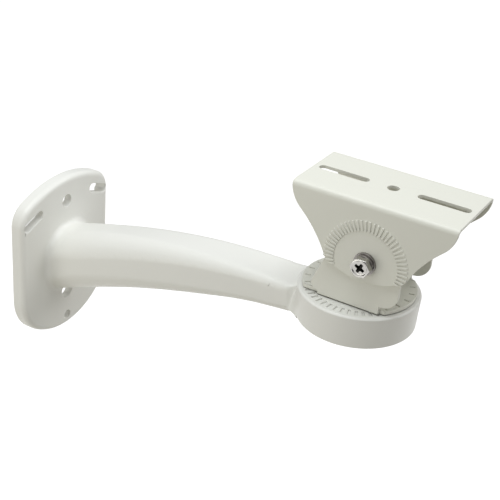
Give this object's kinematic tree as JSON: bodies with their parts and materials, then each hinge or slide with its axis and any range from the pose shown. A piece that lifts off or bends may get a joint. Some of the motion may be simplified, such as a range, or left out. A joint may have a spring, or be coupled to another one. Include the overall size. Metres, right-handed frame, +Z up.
{
  "type": "camera wall bracket",
  "caption": "Wall bracket for a camera: oval wall plate, curved cast arm with a round serrated head, a turning yoke and a tilting slotted camera plate.",
  "frame": {"origin": "middle of the wall plate's back face, where it meets the wall", "axes": "+X away from the wall, +Z up, Y level along the wall and along the tilt axis"},
  "size_m": [0.349, 0.11, 0.2143],
  "materials": {
    "painted_casting": "off-white powder coat on cast aluminium",
    "painted_steel": "off-white powder coat on folded steel",
    "plated_steel": "bright zinc plate"
  },
  "bodies": {
    "casting": {"wall_arm": "painted_casting"},
    "yoke": {"pan_yoke": "painted_steel", "pan_nut": "plated_steel", "pan_bolt": "plated_steel", "pan_spring_washer": "plated_steel", "pan_flat_washer": "plated_steel", "tilt_bolt_near": "plated_steel", "tilt_spring_washer_near": "plated_steel", "tilt_flat_washer_near": "plated_steel", "tilt_nut_near": "plated_steel", "tilt_bolt_far": "plated_steel", "tilt_spring_washer_far": "plated_steel", "tilt_flat_washer_far": "plated_steel", "tilt_nut_far": "plated_steel"},
    "carrier": {"camera_plate": "painted_steel"}
  },
  "joints": [
    {"name": "pan", "type": "hinge", "parent": "casting", "child": "yoke", "pos_m": [0.2745, 0, 0.064], "axis": [0, 0, 1], "range_deg": [-180, 180]},
    {"name": "tilt", "type": "hinge", "parent": "yoke", "child": "carrier", "pos_m": [0.289, 0, 0.1013], "axis": [0, 1, 0], "range_deg": [-55, 70]}
  ]
}
